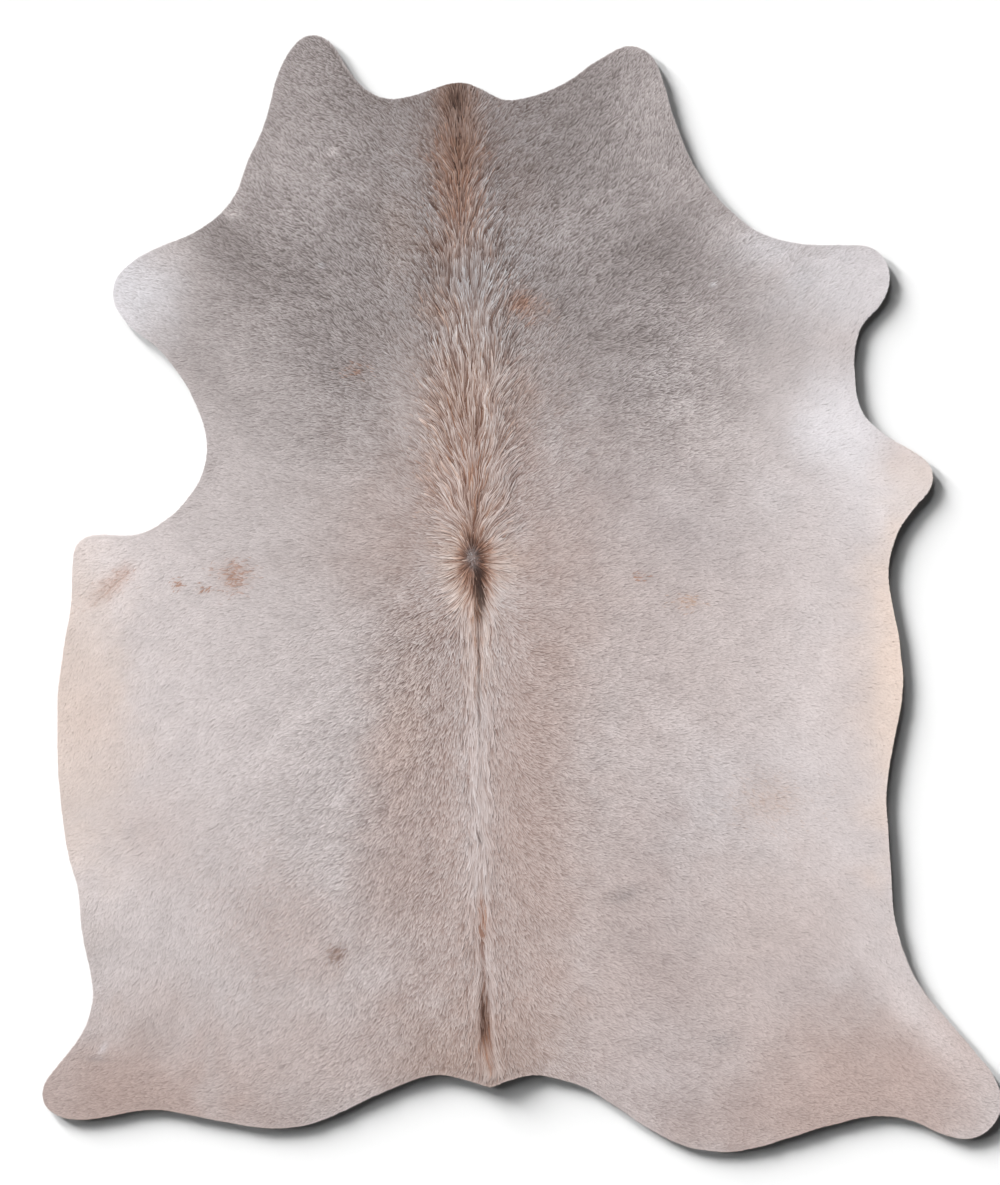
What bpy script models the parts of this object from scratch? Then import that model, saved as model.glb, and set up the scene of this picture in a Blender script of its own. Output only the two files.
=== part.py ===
"""A hair-on cowhide rug lying flat, hair side up, as one solid.

The frame: metres, +Z up, +Y towards the neck, +X to the right of the hide as seen from above,
with the origin under the middle of the hide's box.
"""

import math

import bmesh
import bpy
from mathutils import Vector, geometry, noise

MM = 0.001

# Driving dimensions, in metres
HIDE_WIDTH = 1.830  # across the hind legs
HIDE_LENGTH = 2.130  # neck lobe to rump
LEATHER = 0.0024  # tanned skin
COAT_ON_BACK = 0.0038  # lying hair beside the spine
COAT_ON_BELLY = 0.0022  # lying hair out at the edge

# How the edge and the top are divided, in metres
EDGE_STEP = 0.0175
TOP_STEP = 0.044
SPINE_STEP = 0.030
CLEAR_OF_EDGE = 0.016  # no point of the top lies nearer to the last ring
CLEAR_ON_LINE = 0.015  # points along the back line and the creases lie no nearer to each other
CLEAR_OFF_LINE = 0.026  # and the points between them no nearer to any other
SAME_PLACE = 1e-7
SHARP_EDGE = 50.0  # degrees between faces, from where they no longer look rounded

# The cut edge, clockwise from the neck. Each mark is a place that the edge passes, in millimetres from
# the middle of the hide, and the heading of the edge there, in degrees (0 is right, 90 is to the neck).
EDGE = {
    "left of the neck": [
        ("side of the neck", -488, 911, 74),
        ("side of the lobe", -449, 1024, 60),
        ("tip of the lobe", -395, 1065, -5),
        ("inner side of the lobe", -345, 1025, -60),
        ("foot of the lobe", -295, 961, -35),
    ],
    "neck": [
        ("left hollow", -255, 945, -5),
        ("left of the crest", -175, 961, 20),
        ("crest", -115, 975, -5),
        ("right of the crest", -70, 960, -25),
        ("right hollow", -28, 941, -3),
        ("right of the hollow", 20, 949, 15),
    ],
    "right of the neck": [
        ("foot of the lobe", 75, 970, 27),
        ("inner side of the lobe", 150, 1021, 30),
        ("tip of the lobe", 213, 1045, -5),
        ("corner of the lobe", 258, 1012, -64),
        ("side of the neck", 285, 930, -75),
        ("base of the neck", 350, 785, -55),
        ("shoulder", 450, 691, -29),
    ],
    "right foreleg": [
        ("top of the leg", 565, 667, 0),
        ("top of the end", 643, 667, -3),
        ("end", 701, 600, -90),
        ("under the leg", 667, 532, -135),
        ("hollow behind the leg", 635, 435, -90),
    ],
    "right elbow": [
        ("into the corner", 666, 326, -45),
        ("top of the corner", 750, 270, -30),
        ("corner", 784, 220, -95),
        ("under the corner", 745, 160, -130),
    ],
    "right flank": [
        ("front hollow", 700, 35, -90),
        ("front of the belly", 720, -90, -80),
        ("belly", 722, -215, -98),
        ("rear hollow", 695, -395, -88),
        ("flank", 706, -555, -88),
    ],
    "right hind leg": [
        ("front of the leg", 740, -710, -65),
        ("shin", 829, -833, -48),
        ("side of the end", 887, -901, -54),
        ("end", 915, -972, -92),
        ("foot of the end", 855, -1038, -170),
        ("back of the leg", 765, -1013, 155),
    ],
    "right of the rump": [
        ("hollow", 665, -997, -175),
        ("into the rump", 530, -1031, -161),
        ("lowest place", 380, -1065, 180),
        ("out of the rump", 225, -1010, 145),
    ],
    "tail": [
        ("right hollow", 102, -935, 160),
        ("right of the tail", 18, -918, -177),
        ("right side of the tail", -33, -931, -160),
        ("tail", -59, -941, 178),
        ("left side of the tail", -90, -931, 162),
        ("left of the tail", -137, -919, 172),
    ],
    "left of the rump": [
        ("left hollow", -275, -955, -155),
        ("into the rump", -405, -1011, -165),
        ("lowest place", -500, -1018, 175),
        ("out of the rump", -615, -996, 168),
        ("hollow", -725, -987, -175),
    ],
    "left hind leg": [
        ("foot of the end", -870, -999, 170),
        ("end", -915, -955, 90),
        ("shin", -874, -886, 50),
        ("front of the leg", -818, -745, 96),
        ("above the leg", -838, -642, 99),
    ],
    "left flank": [
        ("foot of the flank", -844, -588, 93),
        ("flank", -861, -510, 103),
        ("belly", -886, -275, 90),
        ("side of the belly", -881, -150, 84),
        ("front of the belly", -862, -45, 79),
    ],
    "left elbow": [
        ("under the corner", -854, 80, 79),
        ("corner", -811, 113, 6),
        ("top of the corner", -745, 113, 8),
    ],
    "left foreleg": [
        ("out of the hollow", -634, 185, 52),
        ("hollow behind the leg", -600, 281, 90),
        ("side of the leg", -630, 376, 115),
        ("under the leg", -661, 428, 122),
        ("foot of the end", -712, 482, 145),
        ("below the end", -757, 521, 130),
        ("end", -779, 558, 104),
        ("top of the end", -763, 618, 45),
        ("top of the leg", -632, 687, 25),
    ],
    "left shoulder": [
        ("shoulder", -553, 751, 55),
        ("base of the neck", -512, 849, 63),
    ],
}

# A dried hide's edge isn't a clean line: waves of two lengths, both in metres
EDGE_WAVES = [
    ("slow", 0.110, 0.0022),
    ("quick", 0.048, 0.0014),
]

# The wall from the underside up to the top: how far each ring lies inside the tips of the hair, in metres,
# and how high it is, as a share of the leather, of the coat above it and of the top's relief
RIM = [
    ("underside", 0.0050, 0.0, 0.0, 0.0),
    ("top of the leather", 0.0042, 1.0, 0.0, 0.0),
    ("hair tips", 0.0000, 1.0, 0.22, 0.0),
    ("shoulder of the coat", 0.0030, 1.0, 0.74, 0.0),
    ("top", 0.0100, 1.0, 1.0, 1.0),
]

# The back line, from neck to tail, in millimetres: its place, how far the long hair beside it rises above
# the coat, how far to each side that reaches, and the depth of the furrow where the two sides part
BACK = [
    ("neck edge", -115, 975, 1.6, 45, 0.8),
    ("neck", -114, 750, 2.2, 58, 1.4),
    ("withers", -103, 500, 2.8, 66, 1.8),
    ("above the whorl", -97, 215, 2.6, 58, 1.6),
    ("whorl", -92, 62, -0.8, 42, 2.2),
    ("below the whorl", -85, -90, 1.4, 46, 1.6),
    ("loin", -82, -395, 1.2, 44, 1.4),
    ("croup", -76, -680, 1.4, 48, 1.8),
    ("tail head", -66, -870, 2.2, 54, 2.4),
    ("tail", -55, -940, 1.8, 50, 1.6),
]
FURROW_REACH = 0.010  # half the furrow's width
FURROW_SIDE = 0.016  # where the furrow has run out

# Soft creases from folding and from the live skin, in millimetres: the two ends, the depth (less than
# nothing is a ridge) and the reach to each side
CREASES = [
    ("front of the left shoulder", -555, 735, -365, 632, 1.4, 20),
    ("inner left shoulder", -365, 632, -225, 492, 0.9, 22),
    ("left of the neck", -470, 900, -330, 720, -0.8, 30),
    ("front of the right shoulder", 350, 760, 245, 610, 1.1, 24),
    ("behind the right shoulder", 300, 560, 420, 380, -0.8, 40),
    ("left flank fold", -760, -120, -600, -560, -0.9, 42),
    ("right flank fold", 600, -150, 560, -620, -0.8, 42),
    ("right hind leg fold", 500, -760, 800, -960, 0.9, 34),
    ("left hind leg fold", -540, -800, -830, -960, 0.8, 34),
]

# Broad unevenness of the top, in metres
UNEVEN_LENGTH = 0.26
UNEVEN_HEIGHT = 0.0007

COAT_COLOUR = (0.56, 0.48, 0.45, 1.0)
COAT_ROUGHNESS = 0.82


def smooth_step(t):
    t = min(max(t, 0.0), 1.0)
    return t * t * (3.0 - 2.0 * t)


def marks():
    """Every mark of the edge: its place in metres and its heading in radians."""
    return [
        (Vector((across, along)) * MM, math.radians(heading))
        for rows in EDGE.values()
        for _, across, along, heading in rows
    ]


def stretch(start, start_heading, end, end_heading):
    """Points from start up to end along a Bezier curve, which is an arc where the headings allow one."""
    turn = (end_heading - start_heading + math.pi) % math.tau - math.pi
    chord = (end - start).length
    reach = chord / (3.0 * math.cos(turn / 4.0) ** 2)
    first_handle = start + reach * Vector((math.cos(start_heading), math.sin(start_heading)))
    last_handle = end - reach * Vector((math.cos(end_heading), math.sin(end_heading)))
    count = max(2, math.ceil(chord / EDGE_STEP))
    return geometry.interpolate_bezier(start, first_handle, last_handle, end, count + 1)[:-1]


def inward(loop):
    """The unit vector at each point that leads into a clockwise loop."""
    found = []
    for i, _ in enumerate(loop):
        along = (loop[(i + 1) % len(loop)] - loop[i - 1]).normalized()
        found.append(Vector((along.y, -along.x)))
    return found


def fitted(loop):
    """The loop moved and stretched so that its box is the hide's width and length about the origin."""
    low = Vector((min(p.x for p in loop), min(p.y for p in loop)))
    high = Vector((max(p.x for p in loop), max(p.y for p in loop)))
    middle, size = (low + high) / 2.0, high - low
    scale = (HIDE_WIDTH / size.x, HIDE_LENGTH / size.y)
    return [Vector(((p.x - middle.x) * scale[0], (p.y - middle.y) * scale[1])) for p in loop]


def outline():
    """The edge of the hide at the tips of its hair, clockwise from above."""
    places = marks()
    loop = []
    for i, (start, heading) in enumerate(places):
        end, end_heading = places[(i + 1) % len(places)]
        loop += [p.to_2d() for p in stretch(start, heading, end, end_heading)]
    waved = []
    for point, side in zip(loop, inward(loop)):
        shift = sum(
            height * noise.noise(Vector((point.x / length, point.y / length, row)))
            for row, (_, length, height) in enumerate(EDGE_WAVES)
        )
        waved.append(point + shift * side)
    return fitted(waved)


def back_at(along):
    """The back line at this place along the hide: x, rise, reach and furrow depth, all in metres."""
    rows = [Vector(row[1:]) * MM for row in BACK]
    along = min(max(along, rows[-1][1]), rows[0][1])
    upper, lower = next(pair for pair in zip(rows, rows[1:]) if along >= pair[1][1])
    share = smooth_step((upper[1] - along) / (upper[1] - lower[1]))
    across, _, rise, reach, furrow = upper.lerp(lower, share)
    return across, rise, reach, furrow


def distance_to_line(point, start, end):
    """How far the point lies from the line between two ends, and how near it is to the line's middle."""
    nearest, share = geometry.intersect_point_line(point, start, end)
    share = min(max(share, 0.0), 1.0)
    nearest = start.lerp(end, share)
    return (point - nearest).length, math.sin(math.pi * share)


def relief(point):
    """What the long hair, the furrow, the creases and the broad unevenness add to the coat."""
    across, rise, reach, furrow = back_at(point.y)
    off = abs(point.x - across)
    height = rise * math.exp(-((off / reach) ** 2)) - furrow * math.exp(-((off / FURROW_REACH) ** 2))
    for _, x1, y1, x2, y2, depth, width in CREASES:
        start, end = Vector((x1, y1, 0.0)) * MM, Vector((x2, y2, 0.0)) * MM
        gap, fade = distance_to_line(point.to_3d(), start, end)
        height -= depth * MM * fade * math.exp(-((gap / (width * MM)) ** 2))
    return height + UNEVEN_HEIGHT * noise.noise(Vector((point.x, point.y, 0.0)) / UNEVEN_LENGTH)


def coat(point):
    """The thickness of the lying hair: full over the back, thinner towards the belly."""
    off = abs(point.x - back_at(point.y)[0])
    return COAT_ON_BACK + (COAT_ON_BELLY - COAT_ON_BACK) * smooth_step(off / (HIDE_WIDTH / 2.0))


def top_height(point):
    return LEATHER + coat(point) + relief(point)


def ring(loop, sides, inset, leather_share, coat_share, relief_share):
    """One ring of the rim as points in space."""
    points = []
    for point, side in zip(loop, sides):
        place = point + inset * side
        height = LEATHER * leather_share + coat(place) * coat_share + relief(place) * relief_share
        points.append(Vector((place.x, place.y, height)))
    return points


def line_points():
    """Points of the top along the back line, the sides of its furrow, its shoulders, and the creases."""
    found = []
    steps = int((BACK[0][2] - BACK[-1][2]) * MM / SPINE_STEP)
    for step in range(steps + 1):
        along = BACK[0][2] * MM - step * SPINE_STEP
        across, _, reach, _ = back_at(along)
        for off in (0.0, FURROW_SIDE, reach):
            found += [Vector((across + side * off, along)) for side in ((-1, 1) if off else (1,))]
    for _, x1, y1, x2, y2, _, width in CREASES:
        start, end = Vector((x1, y1)) * MM, Vector((x2, y2)) * MM
        count = round((end - start).length / TOP_STEP)
        side = (end - start).orthogonal().normalized() * width * MM
        for step in range(count + 1):
            middle = start.lerp(end, step / count)
            found += [middle, middle - side, middle + side]
    return found


def grid_points():
    """Points of the top on a triangular grid over the hide's box."""
    found = []
    row_step = TOP_STEP * math.sqrt(3.0) / 2.0
    rows = int(HIDE_LENGTH / row_step)
    columns = int(HIDE_WIDTH / TOP_STEP)
    for row in range(rows + 1):
        for column in range(columns + 1):
            x = (column + 0.5 * (row % 2)) * TOP_STEP - HIDE_WIDTH / 2.0
            found.append(Vector((x, row * row_step - HIDE_LENGTH / 2.0)))
    return found


def inside(point, loop):
    """Whether a ray to the right from the point crosses the loop an odd number of times."""
    crossings = 0
    for a, b in zip(loop, loop[1:] + loop[:1]):
        if (a.y > point.y) != (b.y > point.y):
            crossings += point.x < a.x + (point.y - a.y) * (b.x - a.x) / (b.y - a.y)
    return crossings % 2 == 1


def spread(candidates, loop, kept, clear_of_kept):
    """The candidates that lie inside the loop, clear of it and of the points already kept."""
    for point in candidates:
        if min((point - p).length for p in loop) < CLEAR_OF_EDGE or not inside(point, loop):
            continue
        if kept and min((point - p).length for p in kept) < clear_of_kept:
            continue
        kept.append(point)
    return kept


def build_hide():
    """The hide as one closed mesh: flat underside, cut edge, overhanging hair and uneven top."""
    loop = outline()
    sides = inward(loop)
    bm = bmesh.new()
    rings = [[bm.verts.new(p) for p in ring(loop, sides, *row[1:])] for row in RIM]
    count = len(loop)
    for lower, upper in zip(rings, rings[1:]):
        for i in range(count):
            j = (i + 1) % count
            bm.faces.new((lower[i], upper[i], upper[j], lower[j]))
    bm.faces.new(rings[0])

    last_ring = [vert.co.to_2d() for vert in rings[-1]]
    points = spread(line_points(), last_ring, [], CLEAR_ON_LINE)
    points = spread(grid_points(), last_ring, points, CLEAR_OFF_LINE)
    border = [(i, (i + 1) % count) for i in range(count)]
    found, _, faces, *_ = geometry.delaunay_2d_cdt(last_ring + points, border, [], 1, SAME_PLACE)
    tops = rings[-1] + [bm.verts.new((p.x, p.y, top_height(p))) for p in found[count:]]
    for face in faces:
        bm.faces.new([tops[i] for i in face])
    bmesh.ops.triangulate(bm, faces=[face for face in bm.faces if len(face.verts) == 4])
    bmesh.ops.recalc_face_normals(bm, faces=bm.faces)
    mesh = bpy.data.meshes.new("hide")
    bm.to_mesh(mesh)
    bm.free()
    mesh.shade_smooth()
    mesh.set_sharp_from_angle(angle=math.radians(SHARP_EDGE))
    hide = bpy.data.objects.new("hide", mesh)
    bpy.context.scene.collection.objects.link(hide)
    return hide


def coat_material():
    material = bpy.data.materials.new("hair-on cowhide")
    material.use_nodes = True
    shader = material.node_tree.nodes["Principled BSDF"]
    shader.inputs["Base Color"].default_value = COAT_COLOUR
    shader.inputs["Roughness"].default_value = COAT_ROUGHNESS
    shader.inputs["Metallic"].default_value = 0.0
    return material


def main():
    for old in list(bpy.data.objects):
        bpy.data.objects.remove(old)
    hide = build_hide()
    hide.data.materials.append(coat_material())


main()
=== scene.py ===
"""A hair-on cowhide rug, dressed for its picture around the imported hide.

The frame: metres, +Z up, +Y towards the neck, +X to the right of the hide as seen from above. The
leather is one thin sheet. The hair on it is made of many small locks, each a narrow leaf that lies
along the lie of the coat, and the tables of markings say which tint a lock has. Every random draw
has a seed of its own, so each run makes the same rug.
"""

import math
from typing import NamedTuple

import bmesh
import bpy
import numpy as np
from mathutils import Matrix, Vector, geometry
from mathutils.bvhtree import BVHTree


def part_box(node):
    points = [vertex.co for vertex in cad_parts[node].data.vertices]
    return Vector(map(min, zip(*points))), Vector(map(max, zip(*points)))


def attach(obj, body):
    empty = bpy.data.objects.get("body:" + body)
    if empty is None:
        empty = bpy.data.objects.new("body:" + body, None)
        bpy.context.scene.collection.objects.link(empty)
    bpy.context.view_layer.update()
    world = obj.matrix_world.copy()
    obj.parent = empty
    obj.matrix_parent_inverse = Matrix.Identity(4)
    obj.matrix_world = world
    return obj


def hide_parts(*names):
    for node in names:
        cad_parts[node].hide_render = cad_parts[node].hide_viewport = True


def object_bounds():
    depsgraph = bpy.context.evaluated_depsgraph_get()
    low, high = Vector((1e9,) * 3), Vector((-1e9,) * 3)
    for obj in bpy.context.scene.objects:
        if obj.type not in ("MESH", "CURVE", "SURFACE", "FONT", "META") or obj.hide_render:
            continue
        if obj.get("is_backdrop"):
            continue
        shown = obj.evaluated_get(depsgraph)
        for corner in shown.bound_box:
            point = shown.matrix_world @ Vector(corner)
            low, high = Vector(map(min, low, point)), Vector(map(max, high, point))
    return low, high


bl_info = {
    "name": "Cowhide Rug",
    "version": (1, 0, 0),
    "blender": (4, 5, 0),
    "location": "3D View > Sidebar > Cowhide",
    "description": "Makes a hair-on cowhide rug with its stage",
    "category": "Add Mesh",
}

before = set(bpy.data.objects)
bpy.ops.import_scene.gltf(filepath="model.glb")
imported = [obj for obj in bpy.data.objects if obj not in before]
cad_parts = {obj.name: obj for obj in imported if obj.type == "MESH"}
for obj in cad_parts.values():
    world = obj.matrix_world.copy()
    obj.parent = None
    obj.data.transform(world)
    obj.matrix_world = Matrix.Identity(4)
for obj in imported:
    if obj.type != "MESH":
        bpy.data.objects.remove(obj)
LOW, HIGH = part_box("hide")

MM = 0.001
WIDTH = HIGH.x - LOW.x
LENGTH = HIGH.y - LOW.y
CUT_INSET = 0.005  # the cut leather lies this far inside the tips of the hair
TIP_INSET = 0.0005  # the coat's locks end at least this far inside the tips of the edge hair
ROOT_SINK = 0.3 * MM  # a lock's root is set this deep in the down

# The cut edge from the floor up: how much further in than the cut, and the share of the thickness
CUT_EDGE = [(0.0, 0.0), (-0.0005, 0.2), (-0.0006, 0.8), (0.0004, 1.0)]
EDGE_STEP = 0.008  # from point to point along the cut edge
RIM = 0.012  # the top rises from the leather to its full height over this width
UNDER_STEP = 0.045  # size of the flat flesh side's faces
TOP_CLEAR, UNDER_CLEAR = 0.008, 0.020  # the points inside the edge keep this far from it
# Painted shade on the down seen between the locks
SKIN_PAINTED_SHADE = 0.20  # how much darker the down is where the locks stand apart

# Painted shade: how much darker a lock is at its root and along its sides, and how much lighter
# all over to make up for it, each times how strongly the locks stand apart
LOCK_ROOT_PAINTED_SHADE = 0.20
LOCK_SIDE_PAINTED_SHADE = 0.17
LOCK_LIGHTER = 0.085
# How a lock lies: its sides hang lower than its middle, and one more than the other, by chance
LOCK_DROOP = 0.35 * MM
LOCK_TILT = 0.25
LOCK_LOOSEST = 1.5  # past this, standing apart changes the shade alone

# Shade down in the hair is browner, most along the back: the powers of red, green and blue
SIDE_SHADE = np.array((0.93, 1.0, 1.03))
BACK_SHADE = np.array((0.76, 1.0, 1.11))
BACK_SHADE_REACH = 0.15

# Layers of smooth noise: each one's strength, the size of its hills in metres, and its seed
WAVES = [(18, 0.027, 85)]  # how far the long hair swings, in degrees
WANDER = [(10, 0.045, 63), (18, 0.013, 64)]  # how far the short locks stray, in degrees
RAGGED = [(0.16, 0.060, 31), (0.10, 0.022, 32)]  # how uneven the edges of the markings are
MOTTLE = [(0.035, 0.045, 33), (0.03, 0.018, 34)]  # how uneven the coat's lightness is

# What a lock's tone is made of. In the short coat: the grain along the hair, its long streaks, the
# ripple across it, how high the lock stands (painted shade: lower locks darker), and chance. In
# the
# long hair: strand, height (painted shade too), chance.
COAT_TONE = (0.40, 0.20, 0.50, 0.75, 0.75)
CREST_TONE = (0.65, 0.60, 0.45)
CREST_LIGHTER = 0.2
# How much lighter or darker a lock is for its tone, times how strongly the locks stand apart
COAT_CONTRAST = 0.06
CREST_CONTRAST = 0.125
EDGE_CONTRAST = 0.04

# The long hair's height over the skin at each station from root to tip, in depths of the coat
CREST_HEIGHTS = (0.70, 1.05, 1.15, 1.0)

# The rows of the edge hair: how far in its roots are, in metres, and how high its tips, in
# millimetres
EDGE_ROWS = [(0.0055, 2.3), (0.0070, 3.1), (0.0090, 3.8)]
EDGE_SPACING = 0.0019
EDGE_WIDTH = 2.6 * MM

# The picture: its rows of pixels, each this many millimetres on the rug, seen from this place
PICTURE_ROWS = 1185
PIXEL = 1.907 * MM
CAMERA_PLACE = (-0.042, 0.002, 5.0)
SENSOR = 36.0
FLOOR_SIZE = 60

# The rug's lights: the way each one shines, and its spread in degrees
KEY_LIGHT = ((0.50, -0.48, -0.72), 25)
OVERHEAD_LIGHT = ((0.05, -0.05, -1.0), 110)
# The low lights on the floor: each one's turn from the middle of the fan, its height and its
# spread in degrees, and its share. The middle of the fan shines to the lower right.
LOW_FAN = [(-32, 7.5, 14, 0.11), (-9, 4.5, 7, 0.39), (9, 4.5, 7, 0.39), (32, 7.5, 14, 0.11)]
FAN_HEADING = -45

# The coat is made in strips, each up to this place from the one before, in metres
STRIPS = [
    ("coat_far_left", -0.55),
    ("coat_left", -0.25),
    ("coat_back", 0.03),
    ("coat_right", 0.33),
    ("coat_far_right", 2.0),
]

# A lock's corners: which station of its line each is at, its side (1 is left), and whether it
# hangs low. Every corner list has its faces, anticlockwise from above.
ROW_FACES = ((0, 3, 4), (0, 4, 1), (1, 4, 5), (1, 5, 2))
SHORT_LOCK = (
    [(0, 0, 0), (1, -1, 1), (1, 1, 1), (2, 0, 0)],
    [(0, 1, 3), (0, 3, 2)],
)
MIDDLE_LOCK = (
    [(0, 0, 0), (1, -1, 1), (1, 0, 0), (1, 1, 1), (2, 0, 0)],
    [(0, 1, 2), (0, 2, 3), (1, 4, 2), (2, 4, 3)],
)
LONG_LOCK = (
    [(0, 0, 0), *((row, side, abs(side)) for row in (1, 2, 3) for side in (-1, 0, 1)), (4, 0, 0)],
    [
        (0, 1, 2), (0, 2, 3),
        *((first + a, first + b, first + c) for first in (1, 4) for a, b, c in ROW_FACES),
        (7, 10, 8), (8, 10, 9),
    ],
)

# The back line from neck to tail: its place in millimetres, how far the long hair reaches to each
# side, and the share of its full length that it has there
BACK = [
    ("neck edge", -115, 975, 36, 0.45),
    ("neck", -114, 750, 44, 0.60),
    ("withers", -103, 500, 50, 0.95),
    ("above the whorl", -97, 215, 47, 1.05),
    ("whorl", -93, 68, 31, 0.90),
    ("below the whorl", -85, -90, 22, 0.85),
    ("loin", -82, -395, 16, 0.75),
    ("croup", -76, -680, 18, 0.75),
    ("tail head", -66, -870, 26, 0.70),
    ("tail", -55, -940, 26, 0.70),
]
PLACE, REACH, SHARE = 1, 3, 4  # its columns
WHORL = np.array((-0.0935, 0.0695))  # where the hair of the back parts in all directions
WHORL_REACH = 0.050
WHORL_PULL = 3.0  # how much more than the rest of the coat's lie the whorl counts at its middle
WHORL_GROWTH = 0.30  # the share of its length that a lock has at the middle of the whorl

# The lie of the coat: the heading of the hair in degrees (0 is right, 90 to the neck, 270 to the
# tail), for places across the hide, in millimetres from the back line, and along it
COMB_ACROSS = (-760, -560, -380, -220, -110, -40, 40, 110, 220, 380, 560, 760)
COMB = [
    ("neck edge", 980, 170, 165, 156, 150, 140, 122, 58, 35, 40, 60, 70, 70),
    ("neck", 865, 165, 155, 130, 155, 140, 126, 54, 40, 47, 76, 76, 60),
    ("base of the neck", 750, 160, 150, 140, 138, 144, 122, 60, 48, 42, 50, 45, 30),
    ("shoulders", 636, 170, 162, 166, 140, 132, 107, 78, 55, 42, 32, 40, 20),
    ("withers", 521, 165, 165, 175, 144, 132, 107, 81, 50, 37, 21, 27, 45),
    ("chest", 350, 184, 184, 181, 174, 145, 110, 81, 42, 16, 12, 12, 25),
    ("above the whorl", 178, 185, 185, 182, 178, 153, 125, 66, 30, 18, 8, -4, -10),
    ("whorl", 64, 215, 201, 184, 184, 182, 180, 0, 4, 12, 0, -6, -20),
    ("below the whorl", -80, 242, 214, 195, 200, 228, 252, -72, -2, 5, 8, -6, -18),
    ("barrel", -279, 250, 225, 214, 210, 240, 258, -75, -18, -4, -5, -25, -35),
    ("loin", -450, 213, 221, 214, 213, 245, 259, -73, -25, -12, -18, -20, -15),
    ("flank", -622, 244, 246, 228, 227, 242, 258, -72, -44, -25, -26, -26, -46),
    ("croup", -800, 239, 239, 223, 232, 248, 257, -71, -39, -22, -15, -20, -38),
    ("rump", -966, 190, 190, 200, 215, 240, 255, -70, -36, -20, -10, -10, -20),
]

# How strongly the locks stand apart from one another, 1 being the middle of the flank; places as
# for the comb
MANE_ACROSS = (-800, -560, -370, -230, -100, 0, 100, 230, 370, 560, 800)
MANE = [
    ("neck", 900, 2.0, 2.1, 1.9, 2.9, 2.7, 2.5, 2.7, 2.6, 1.9, 1.6, 1.5),
    ("shoulders", 640, 0.6, 1.1, 2.9, 3.2, 3.4, 6.0, 3.4, 2.9, 2.4, 1.2, 0.3),
    ("chest", 400, 0.9, 0.7, 1.5, 2.8, 1.7, 4.7, 2.2, 1.8, 2.9, 0.5, 0.0),
    ("above the whorl", 180, 0.6, 0.7, 0.8, 1.1, 1.7, 4.0, 1.8, 1.0, 0.9, 0.7, 0.0),
    ("whorl", 64, 0.4, 0.6, 0.8, 1.1, 1.5, 1.9, 1.2, 1.0, 0.8, 0.6, 0.2),
    ("below the whorl", -80, 0.2, 0.6, 0.8, 1.4, 3.6, 2.2, 1.7, 1.2, 0.9, 0.7, 0.2),
    ("barrel", -400, 0.2, 0.5, 1.2, 2.0, 2.4, 1.5, 1.9, 1.3, 1.0, 0.6, 0.1),
    ("croup", -700, 0.7, 0.7, 1.0, 1.7, 1.9, 1.7, 1.6, 1.1, 0.9, 0.7, 0.4),
    ("rump", -950, 0.8, 0.8, 1.0, 1.5, 2.0, 1.8, 1.8, 1.1, 0.9, 0.8, 0.8),
]


class Marking(NamedTuple):
    """One row of the markings, painted in their order over the ground of the coat."""

    name: str
    x: float  # its place, in millimetres
    y: float
    across: float  # how far it reaches, in millimetres
    along: float
    tint: str
    strength: float
    by_lock: float = 0.0  # the share of it that comes lock by lock instead of evenly
    firmness: float = 2  # how firm its edge is
    turn: float = 0  # degrees


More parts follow.
